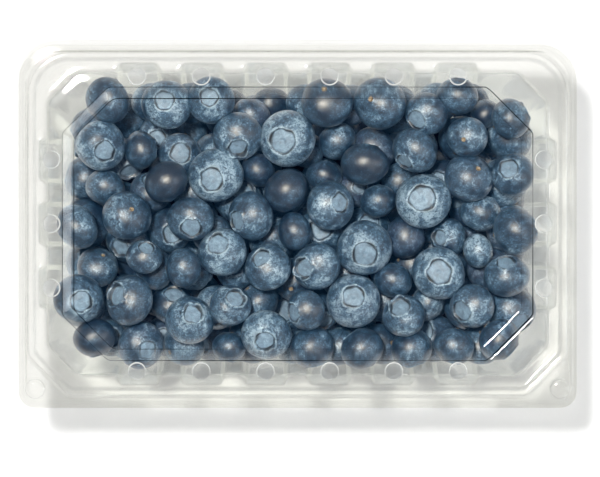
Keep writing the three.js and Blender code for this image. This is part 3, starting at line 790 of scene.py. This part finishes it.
def pack_berries():
    """Every berry that shows from outside the heap, as a dictionary, after all have settled."""
    random = dice(SEED)

    def between(low, high):
        return lerp(low, high, random())

    berries = []
    for i, (x, y, r, lean_x, lean_y, kind, bloom, violet) in enumerate(TOP_BERRIES):
        z = HEAP_TOP - r - i / len(TOP_BERRIES) * TOP_FALL
        berries.append({
            "at": (x, y, z), "r": r, "lean": (lean_x, lean_y), "up": -1 if kind == "scar" else 1,
            "kind": kind, "bloom": bloom, "violet": violet, "homing": TOP_HOMING, "loose": TOP_LOOSE,
        })
    for layer in range(LAYERS):
        height = HEAP_FLOOR + BERRY_LARGE + layer * LAYER_RISE
        room_x, room_y, open_corner = room_at(height)
        rows = math.floor(2 * room_y / (ROW_SPACING * ROW_SQUEEZE) + 0.5)
        columns = math.floor(2 * room_x / ROW_SPACING + 0.5)
        for row in range(rows):
            odd = (row + layer) % 2
            for column in range(columns - odd):
                x = (column - (columns - 1 - odd) / 2) * ROW_SPACING + between(-SCATTER, SCATTER)
                y = (row - (rows - 1) / 2) * ROW_SPACING * ROW_SQUEEZE + between(-SCATTER, SCATTER)
                z = height + between(-SCATTER, SCATTER)
                r = between(BERRY_SMALL, BERRY_LARGE)
                lean = (between(-LEAN, LEAN), between(-LEAN, LEAN))
                up = -1 if random() < 0.5 else 1
                if abs(x) + abs(y) <= room_x + room_y - open_corner:
                    berries.append({
                        "at": (x, y, z), "r": r, "lean": lean, "up": up, "kind": "below", "homing": 0.0,
                        "loose": SETTLE_EASE,
                    })
    at, r, homing, loose = [np.array([b[key] for b in berries]) for key in ("at", "r", "homing", "loose")]
    settle(at, r, homing, loose)
    half_x, half_y, open_corner = room_at(at[:, 2])
    to_wall = np.minimum(half_x - np.abs(at[:, 0]), half_y - np.abs(at[:, 1]))
    to_corner = (half_x + half_y - open_corner - np.abs(at[:, 0]) - np.abs(at[:, 1])) / math.sqrt(2)
    deep = np.minimum(to_wall, to_corner) > CORE_INSET + 2
    hidden = deep & (at[:, 2] <= SHOWN_FROM) & (at[:, 2] >= HEAP_FLOOR + BERRY_LARGE + 1)
    for berry, place in zip(berries, at):
        berry["at"] = place
    return [b for b, gone in zip(berries, hidden) if not gone]


# ---- One berry ----------------------------------------------------------------------------------

# How far the rings of a crown lie from its middle, over the radius of its disc
CROWN_STATIONS = [
    0.08, 0.18, 0.30, 0.44, 0.58, 0.70, 0.80, 0.88, 0.94, 0.975,
    1.0, 1.03, 1.07, 1.12, 1.18, 1.27, 1.40, 1.58,
]
SCAR_STATIONS = [1.9, 1.5, 1.2, 1.0, 0.8, 0.5, 0.2]
SHOWN_GRID, LOW_GRID = (60, 24), (36, 15)  # columns and rings of a berry that shows well, and of one below


def hump(x, middle, width):
    return np.exp(-((x - middle) / width) ** 2)


def ragged(angles, random, waves=9):
    """A repeatable uneven line round a circle, about from -1 to 1."""
    total = np.zeros_like(angles)
    for k in range(2, waves):
        total += math.sin(6.28 * random()) * np.cos(k * angles + 6.28 * random()) / math.sqrt(k)
    return total * 0.8


def berry_shape(look, columns, body_rings, random):
    """A berry of radius 1 with its crown at +Z: points in rings from the crown to the scar, faces and parts.

    The parts are how much a point belongs to the crown's disc, the crack round it, the scar and the ridge.
    The crack is painted dark both for its dried edge and for the shade in its groove.
    """
    angles = full_turn(columns)
    squash, disc, star, scar = look["squash"], look["disc"], look["star"], look["scar"]
    uneven = ragged(angles, random)
    rim = disc * (1 + 0.015 * np.cos(5 * angles) + 0.07 * uneven)
    crack_and_shade = np.clip(0.38 + 1.1 * ragged(angles, random, 5), 0.03, 1)
    lobes = np.abs(np.cos(2.5 * angles + 0.3)) ** 0.8
    ridge = 0.028 + 0.02 * uneven + star * 0.10 * lobes
    sink = 0.06 + 0.05 * star
    rows, parts = [], []

    def ball(s):
        return squash * np.sqrt(np.maximum(1 - s * s, 0))

    def lay(s, z, in_disc=0.0, in_crack_shade=0.0, in_scar=0.0, on_ridge=0.0):
        """Adds a ring of radius s at height z, with the parts it belongs to."""
        rows.append(around(angles, s, z))
        parts.append(np.column_stack([
            np.broadcast_to(part, columns) for part in (in_disc, in_crack_shade, in_scar, on_ridge)
        ]))

    every = 1 if body_rings >= SHOWN_GRID[1] else 2
    stations = CROWN_STATIONS[::every]
    for f in stations:
        s = rim * f
        floor = ball(disc) - sink + 0.02 * (1 - f * f) - 0.035 * hump(f, 0, 0.13) + 0.012 * hump(f, 0.3, 0.09)
        z = np.where(f < 1, floor, ball(s) + ridge * hump(f, 1.15, 0.13))
        z = z - (0.03 + 0.09 * crack_and_shade) * hump(f, 1.0, 0.05)
        s = s + star * 0.05 * lobes * hump(f, 1.2, 0.15)
        # How much of the crack's dark edge and painted shade each ring gets
        split = hump((f - 1.0) / (0.04 + 0.11 * crack_and_shade), 0, 1) * (0.45 + 0.55 * crack_and_shade)
        lay(s, z, np.clip((1.0 - f) / 0.06, 0, 1), split, 0.0, hump(f, 1.16, 0.10))
    first = np.arcsin(np.minimum(rim * stations[-1], 0.95))
    last = math.pi - math.asin(scar * SCAR_STATIONS[0])
    for t in np.linspace(0, 1, body_rings + 1)[1:]:
        tilt = first + (last - first) * t
        lay(np.sin(tilt), squash * np.cos(tilt))
    for f in SCAR_STATIONS[::every][1:]:
        s = scar * f * (1 + 0.06 * uneven)
        lay(s, -ball(s) - 0.018 * hump(f, 1.15, 0.25) + 0.05 * (f < 1) * (1 - f * f), in_scar=float(f <= 1.0))
    points, faces = capped(np.array(rows), flip=True)
    parts = np.array(parts)
    parts = np.concatenate([parts.reshape(-1, 4), [parts[0, 0]], [parts[-1, 0]]])
    way = points / np.maximum(np.linalg.norm(points, axis=1, keepdims=True), 1e-9)
    swell = np.ones(len(points))
    for _ in range(4):
        lump = np.array([random() - 0.5, random() - 0.5, random() - 0.5])
        swell += 0.018 * np.cos(way @ (lump / np.linalg.norm(lump)) * (2 + 2 * random()) + 6.28 * random())
    points *= np.minimum(swell - 0.015, 1.015)[:, None]
    return points, faces, parts


def turned_to(crown, roll):
    """Columns of the rotation that takes +Z to the crown's direction, after a roll about it."""
    w = np.array(crown, float)
    w /= np.linalg.norm(w)
    side = np.cross([0.0, 1.0, 0.0] if abs(w[1]) < 0.9 else [1.0, 0.0, 0.0], w)
    side /= np.linalg.norm(side)
    other = np.cross(w, side)
    c, s = math.cos(roll), math.sin(roll)
    return np.column_stack([side * c + other * s, other * c - side * s, w])


def crown_of(berry):
    """Which way a berry's crown points. One that shows its side has it level."""
    lean_x, lean_y = berry["lean"]
    if berry["kind"] == "plain":
        reach = math.hypot(lean_x, lean_y)
        return lean_x / reach, lean_y / reach, -0.1
    return lean_x, lean_y, berry["up"] * math.sqrt(max(0.0, 1 - lean_x ** 2 - lean_y ** 2))


def berries_piece(name, berries, columns, body_rings, fruit, material):
    """One mesh of many berries, each with its own shape, bloom and place in the patterns."""
    solids, places, parts, tones = [], [], [], []
    for berry in berries:
        random = dice(int(abs(berry["at"] @ [7919.0, 104729.0, 1299709.0])) + 17)
        random()
        look = {
            "squash": fruit.squash + 0.05 * (random() - 0.5),
            "disc": fruit.disc + 0.09 * (random() - 0.5),
            "scar": 0.085 + 0.03 * random(),
            "star": 1.0 if berry["kind"] == "star" else 0.25 * random(),
        }
        if berry["kind"] == "below":
            look["star"] = random() ** 2
        points, faces, its_parts = berry_shape(look, columns, body_rings, random)
        turn = turned_to(crown_of(berry), 6.28 * random())
        radius = berry["r"] * MM
        offset = np.array([random(), random(), random()])
        bloom = berry.get("bloom", 0.25 + 0.5 * random())
        violet = berry.get("violet", max(0.0, random() * 2.4 - 1.5))
        solids.append((points @ turn.T * radius + berry["at"] * MM, faces))
        places.append(points * radius + offset)
        parts.append(its_parts)
        tones.append(np.tile([bloom, violet, random()], (len(points), 1)))
    piece = mesh_piece(name, *merged(solids), material)
    for label, kind, values, key in (
        ("fruit_place", "FLOAT_VECTOR", places, "vector"),
        ("fruit_tone", "FLOAT_VECTOR", tones, "vector"),
        ("fruit_parts", "FLOAT_COLOR", parts, "color"),
    ):
        layer = piece.data.attributes.new(label, kind, "POINT")
        layer.data.foreach_set(key, np.concatenate(values).astype(np.float32).ravel())
    return piece


def fruit_skin(fruit):
    """Ripe blueberry: a dark glossy skin under its own wax, grown as a bloom and rubbed where berries met.

    The wax scatters a dusty pale blue. Where it is rubbed off, the skin is nearly black and shines. A faint
    painted glow of the skin lightens its shadows blue, standing in for light scattered inside the fruit.
    """
    material, tree = new_material("Blueberry_skin_waxy_bloom")
    place = add(tree, "ShaderNodeAttribute", None, "Vector", attribute_name="fruit_place")
    tone = add(tree, "ShaderNodeAttribute", None, "Vector", attribute_name="fruit_tone")
    left_on, unripe = add(tree, "ShaderNodeSeparateXYZ", {0: tone}, None).outputs[:2]
    attribute = add(tree, "ShaderNodeAttribute", None, None, attribute_name="fruit_parts").outputs
    disc, crack_and_shade, scar = add(tree, "ShaderNodeSeparateColor", {0: attribute["Color"]}, None).outputs
    pattern = {}
    for name, size, detail, rough, distortion in (
        ("patches", 6.5 * MM, 2.0, 0.5, 0.0),
        ("mottle", 1.9 * MM, 5.0, 0.72, 0.5),
        ("speckle", 0.6 * MM, 3.0, 0.65, 0.0),
        ("flecks", 1.1 * MM, 2.0, 0.5, 0.0),
        ("scratches", 3.2 * MM, 3.0, 0.6, 1.5),
        ("fine_lines", 4.1 * MM, 2.0, 0.5, 2.5),
    ):
        pattern[name] = add(tree, "ShaderNodeTexNoise", {
            "Vector": place, "Scale": per(size), "Detail": detail, "Roughness": rough,
            "Distortion": distortion,
        })
    for name, middle, width in (("scratches", 0.5, 0.02), ("fine_lines", 0.47, 0.012)):
        aside = add(tree, "ShaderNodeMath", {0: pattern[name], 1: middle}, operation="SUBTRACT")
        aside = add(tree, "ShaderNodeMath", {0: aside}, operation="ABSOLUTE")
        line = {"Value": aside, "From Max": width, "To Min": 1.0, "To Max": 0.0}
        pattern[name] = add(tree, "ShaderNodeMapRange", line)
    share = {}
    for name, source, low, high in (
        ("flecks", "flecks", 0.60, 0.70),
        ("violet", "patches", 0.42, 0.62),
        ("disc", "mottle", 0.35, 0.62),
        ("scar", "speckle", 0.35, 0.60),
    ):
        span = {"Value": pattern[source], "From Min": low, "From Max": high}
        share[name] = add(tree, "ShaderNodeMapRange", span)
    uneven = (pattern["patches"], 1.15), (pattern["mottle"], 1.8), (pattern["speckle"], 1.0)
    marks = (attribute["Alpha"], 0.3), (pattern["fine_lines"], 0.22), (share["flecks"], -0.4)
    # The noises are 0.5 on average, and this takes that out again, so the berry keeps its own amount of bloom
    base = 0.12 - 0.5 * sum(weight for _, weight in uneven)
    bloom = add(tree, "ShaderNodeMath", {0: left_on, 1: 0.80, 2: base}, operation="MULTIPLY_ADD")
    for source, weight in (*uneven, *marks, (pattern["scratches"], -0.35)):
        bloom = add(tree, "ShaderNodeMath", {0: source, 1: weight, 2: bloom}, operation="MULTIPLY_ADD")
    bloom.node.use_clamp = True
    skin = add(tree, "ShaderNodeValToRGB", {0: bloom}, None)
    ramp = skin.color_ramp.elements
    ramp[0].color, ramp[1].color = rgba(fruit.skin), rgba(fruit.dust)
    for position, shade in ((0.32, fruit.thin_bloom), (0.70, fruit.bloom)):
        ramp.new(position).color = rgba(shade)
    violet = add(tree, "ShaderNodeMath", {0: unripe, 1: share["violet"]}, operation="MULTIPLY")
    violet.node.use_clamp = True
    spotted = {}
    for name, darker, shade in (("disc", 0.62, fruit.disc_colour), ("scar", 0.25, fruit.scar)):
        tints = {0: share[name], 6: rgba(shade, darker), 7: rgba(shade)}
        spotted[name] = add(tree, "ShaderNodeMix", tints, 2, data_type="RGBA")
    body = skin.outputs[0]
    for where, strength, shade in (
        (violet, 0.55, rgba(fruit.violet)),
        (disc, 0.8, spotted["disc"]),
        # The crack is painted dark, for its dried edge and for the shade in its groove
        (crack_and_shade, 0.95, rgba(fruit.crack_and_shade)),
        (scar, 1.0, spotted["scar"]),
    ):
        amount = add(tree, "ShaderNodeMath", {0: where, 1: strength}, operation="MULTIPLY")
        body = add(tree, "ShaderNodeMix", {0: amount, 6: body, 7: shade}, 2, data_type="RGBA")
    matt = add(tree, "ShaderNodeMapRange", {"Value": bloom, "From Max": 0.8, "To Min": 0.36, "To Max": 0.50})
    rough = add(tree, "ShaderNodeMath", {0: disc, 1: 0.15, 2: matt}, operation="MULTIPLY_ADD")
    wax = add(tree, "ShaderNodeMapRange", {"Value": disc, "To Min": 0.9, "To Max": 0.15})
    height = add(tree, "ShaderNodeMath", {0: pattern["speckle"], 1: 0.4}, operation="MULTIPLY")
    height = add(tree, "ShaderNodeMath", {0: pattern["mottle"], 1: 0.6, 2: height}, operation="MULTIPLY_ADD")
    bump = add(tree, "ShaderNodeBump", {"Height": height, "Strength": 1.0, "Distance": 0.17 * MM})
    return finished(material, add(tree, "ShaderNodeBsdfPrincipled", {
        "Base Color": body, "Roughness": rough, "Specular IOR Level": 1.0, "Normal": bump,
        "Specular Tint": rgba(fruit.sheen), "Coat Weight": wax, "Coat Roughness": 0.43,
        # Painted glow, for light scattered inside the fruit
        "Emission Color": rgba(fruit.painted_inner_glow), "Emission Strength": 1.0,
    }))


def shaded_fruit(fruit):
    """Blueberries packed out of the light: the skin's dark blue, with a trace of bloom to break it up."""
    material, tree = new_material("Blueberries_in_shadow")
    place = add(tree, "ShaderNodeTexCoord", out="Object")
    cells = add(tree, "ShaderNodeTexNoise", {"Vector": place, "Scale": per(7 * MM), "Detail": 3.0})
    tints = {0: cells, 6: rgba(fruit.core, 0.5), 7: rgba(fruit.core)}
    shade = add(tree, "ShaderNodeMix", tints, 2, data_type="RGBA")
    return finished(material, add(tree, "ShaderNodeBsdfPrincipled", {"Base Color": shade, "Roughness": 0.7}))


def core_piece(material):
    """The dark inside of the heap, within the berries that show, with hollows and humps of a berry's size."""
    rows = []
    angles = full_turn(96)
    for t in np.linspace(-1, 1, 33):
        z = lerp(HEAP_FLOOR + CORE_INSET, SHOWN_FROM + 1, (t + 1) / 2)
        half_x, half_y, _ = room_at(z)
        round_off = (1 - abs(t) ** 8) ** 0.125
        blunt = (np.abs(np.cos(angles)) ** 5 + np.abs(np.sin(angles)) ** 5) ** -0.2
        row = around(angles, blunt * round_off, z)
        row[:, 0] *= half_x - CORE_INSET
        row[:, 1] *= half_y - CORE_INSET
        rows.append(row)
    rows = np.array(rows)
    dents = np.sin(rows[..., 0] / 2.6) * np.sin(rows[..., 1] / 2.6) * np.sin(rows[..., 2] / 2.4)
    rows[..., :2] *= (1 - 0.02 * (1 + dents))[..., None]
    return mesh_piece("heap_core", *capped(rows * MM), material)


# ---- Operators ----------------------------------------------------------------------------------

SENSOR = 36  # millimetres
CAMERA_ASIDE = 0.8 * MM, -4.8 * MM  # how far the camera stands off the middle of the pack
LIGHTS_AIM = Vector((0, 0, 0.05))
TABLE_HALF = 4.0
SKY_LEVEL, SKY_WALL, SKY_CEILING = (0.85, 0.86, 0.87), (0.30, 0.31, 0.32), (0.03, 0.03, 0.032)
SKY_STRENGTH = 0.30


class PUNNET_OT_tray(bpy.types.Operator):
    """Makes the fluted tray with its flange, bead, snap studs and fold"""
    bl_idname = "punnet.tray"
    bl_label = "Tray"

    def execute(self, context):
        sizes = context.scene.punnet_sizes
        at = heights(sizes)
        tray = mesh_piece("tray_sheet", *shell(tray_rows(sizes), sizes.sheet, -1), clear_sheet(sizes))
        radius, half, end = sizes.fold_radius, FOLD_HALF, 0.4 * MM
        rod, rod_faces = turned_solid(0, 0, [
            (0.7 * radius, -half), (radius, end - half), (radius, half - end), (0.7 * radius, half),
        ], 20)
        rod = rod[:, [2, 0, 1]] + [0, TRAY_HIGH.y - radius, at["underside"]]
        stud = dome(2.7 * MM, 1.9 * MM, at["rim"] - 0.2 * MM)
        studs = [turned_solid(side * BUTTON_PLACE[0], BUTTON_PLACE[1], stud) for side in (-1, 1)]
        combine(tray, "UNION", *merged([(rod, rod_faces), *studs]))
        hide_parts("tray")
        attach(tray, "tray")
        return {"FINISHED"}


class PUNNET_OT_lid(bpy.types.Operator):
    """Makes the vented lid with its sunk panel, bead and snap buttons"""
    bl_idname = "punnet.lid"
    bl_label = "Lid"

    def execute(self, context):
        sizes = context.scene.punnet_sizes
        at = heights(sizes)
        lid = mesh_piece("lid_sheet", *shell(lid_rows(sizes), sizes.sheet, 1), clear_sheet(sizes))
        buttons = [(side * BUTTON_PLACE[0], BUTTON_PLACE[1]) for side in (-1, 1)]
        button = dome(sizes.button_radius, 2.3 * MM, at["flange_top"] - 0.3 * MM)
        combine(lid, "UNION", *merged([turned_solid(x, y, button) for x, y in buttons]))
        hollow = dome(sizes.button_radius - sizes.sheet, 2.4 * MM, at["underside"] - 0.6 * MM)
        cuts = [turned_solid(x, y, hollow) for x, y in buttons]
        vents = vent_places(sizes)
        punch = [(sizes.vent_diameter / 2, at["shelf"] + z) for z in (-9 * MM, 2 * MM)]
        cuts += [turned_solid(x, y, punch, 48) for x, y in vents]
        combine(lid, "DIFFERENCE", *merged(cuts))
        lips = merged([vent_lip(x, y, sizes) for x, y in vents])
        # The air holes' lips, which carry their painted glint
        edge_glints = mesh_piece("lid_vent_painted_glints", *lips, painted_edge_glint(sizes))
        # Thin threads that carry the creases' painted dark lines
        painted_creases = mesh_piece("lid_panel_painted_crease_lines", *merged(painted_crease_threads(sizes)), painted_crease_sheet(sizes))
        for piece in (lid, edge_glints, painted_creases):
            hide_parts("lid")
            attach(piece, "lid")
        return {"FINISHED"}


class PUNNET_OT_berries(bpy.types.Operator):
    """Makes the blueberries, one piece for each kind, and the dark core under them"""
    bl_idname = "punnet.berries"
    bl_label = "Blueberries"

    def execute(self, context):
        fruit = context.scene.punnet_fruit
        skin = fruit_skin(fruit)
        berries = pack_berries()
        made = []
        for name, kind, up, grid in (
            ("berries_crown_up", "crown", 1, SHOWN_GRID),
            ("berries_star_crown", "star", 1, SHOWN_GRID),
            ("berries_scar_up", "scar", -1, SHOWN_GRID),
            ("berries_side_up", "plain", 1, SHOWN_GRID),
            ("berries_below_crown_up", "below", 1, LOW_GRID),
            ("berries_below_scar_up", "below", -1, LOW_GRID),
        ):
            some = [b for b in berries if b["kind"] == kind and b["up"] == up]
            made.append(berries_piece(name, some, *grid, fruit, skin))
        made.append(core_piece(shaded_fruit(fruit)))
        for piece in made:
            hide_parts("blueberries")
            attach(piece, "tray")
        return {"FINISHED"}


class PUNNET_OT_stage(bpy.types.Operator):
    """Makes the floor, the soft studio lights and the camera"""
    bl_idname = "punnet.stage"
    bl_label = "Stage"

    def execute(self, context):
        looks, scene = context.scene.punnet_stage, context.scene
        self.make_floor(looks)
        self.make_sky(scene)
        self.make_light("key", (-0.132, 0.162, 1.0), 4.0, 0.34, looks.key_power, "FFFDFA")
        self.make_light("fill", (1.0, -0.05, 0.95), 1.2, 0.52, looks.fill_power, "F6F9FF")
        self.make_light("strip", (1.0, -1.0, 1.4), 1.2, 0.36, looks.strip_power, "F6F9FF")
        lens = bpy.data.cameras.new("camera")
        lens.sensor_width = SENSOR
        lens.lens = SENSOR * looks.camera_height / looks.view_width
        lens.clip_start, lens.clip_end = 0.05, 20
        camera = bpy.data.objects.new("camera", lens)
        camera.location = (*CAMERA_ASIDE, LID_LOW.z + looks.camera_height)
        scene.collection.objects.link(camera)
        scene.camera = camera
        scene.view_settings.view_transform = "Standard"
        scene.view_settings.look = "None"
        scene.cycles.transparent_max_bounces = 32
        scene.cycles.max_bounces = 24
        scene.cycles.transmission_bounces = 24
        scene.cycles.glossy_bounces = 8
        return {"FINISHED"}

    @staticmethod
    def make_floor(looks):
        """Opal acrylic of a shooting table, cast matt and lit a little from below.

        It is even and pale, with a faint mottle, and its glow keeps the shadows on it soft and light.
        """
        material, tree = new_material("Opal_acrylic_cast_matt")
        place = add(tree, "ShaderNodeTexCoord", out="Object")
        mottle = add(tree, "ShaderNodeTexNoise", {"Vector": place, "Scale": per(60 * MM), "Detail": 2.0})
        tints = {0: mottle, 6: rgba(looks.floor, 0.985), 7: rgba(looks.floor)}
        shade = add(tree, "ShaderNodeMix", tints, 2, data_type="RGBA")
        finished(material, add(tree, "ShaderNodeBsdfPrincipled", {
            "Base Color": shade, "Roughness": 0.9, "Emission Color": shade,
            "Emission Strength": looks.floor_glow,
        }))
        corners = [(x * TABLE_HALF, y * TABLE_HALF, 0) for x, y in ((-1, -1), (1, -1), (1, 1), (-1, 1))]
        floor = mesh_piece("floor", corners, [[0, 1, 2, 3]], material)

    @staticmethod
    def make_sky(scene):
        """A studio with pale walls and a darker ceiling, which keeps the flat panel of the lid clear."""
        world = bpy.data.worlds.new("studio")
        world.use_nodes = True
        scene.world = world
        tree = world.node_tree
        tree.nodes.clear()
        way = add(tree, "ShaderNodeTexCoord", out="Generated")
        height = add(tree, "ShaderNodeSeparateXYZ", {0: way}, "Z")
        ramp = add(tree, "ShaderNodeValToRGB", {0: height}, None)
        steps = ramp.color_ramp.elements
        steps[0].color, steps[1].color = rgba(SKY_LEVEL), rgba(SKY_CEILING)
        steps.new(0.55).color = rgba(SKY_WALL)
        light = add(tree, "ShaderNodeBackground", {"Color": ramp.outputs[0], "Strength": SKY_STRENGTH})
        add(tree, "ShaderNodeOutputWorld", {"Surface": light}, None)

    @staticmethod
    def make_light(name, way, distance, size, watts, tint):
        data = bpy.data.lights.new(name, "AREA")
        data.shape = "DISK"
        data.size, data.energy, data.color = size, watts, linear(tint)
        lamp = bpy.data.objects.new(name, data)
        bpy.context.scene.collection.objects.link(lamp)
        way = Vector(way).normalized()
        lamp.location = LIGHTS_AIM + way * distance
        lamp.rotation_euler = way.to_track_quat("Z", "Y").to_euler()


class PUNNET_PT_panel(bpy.types.Panel):
    """Lists the sizes, the colours and the pieces of the punnet"""
    bl_idname = "PUNNET_PT_panel"
    bl_label = "Punnet of Blueberries"
    bl_space_type = "VIEW_3D"
    bl_region_type = "UI"
    bl_category = "Punnet"

    def draw(self, context):
        for group in (context.scene.punnet_sizes, context.scene.punnet_fruit, context.scene.punnet_stage):
            column = self.layout.column(align=True)
            for name in group.__annotations__:
                column.prop(group, name)
        for operator in OPERATORS:
            self.layout.operator(operator.bl_idname)


GROUPS = {"punnet_sizes": PunnetSizes, "punnet_fruit": FruitLooks, "punnet_stage": StageLooks}
OPERATORS = (PUNNET_OT_tray, PUNNET_OT_lid, PUNNET_OT_berries, PUNNET_OT_stage)


def register():
    for kind in (*GROUPS.values(), *OPERATORS, PUNNET_PT_panel):
        bpy.utils.register_class(kind)
    for name, kind in GROUPS.items():
        setattr(bpy.types.Scene, name, bpy.props.PointerProperty(type=kind))


def unregister():
    for name in GROUPS:
        delattr(bpy.types.Scene, name)
    for kind in (PUNNET_PT_panel, *OPERATORS, *GROUPS.values()):
        bpy.utils.unregister_class(kind)


def main():
    register()
    for step in (bpy.ops.punnet.stage, bpy.ops.punnet.tray, bpy.ops.punnet.lid, bpy.ops.punnet.berries):
        step()


if __name__ == "__main__":
    main()
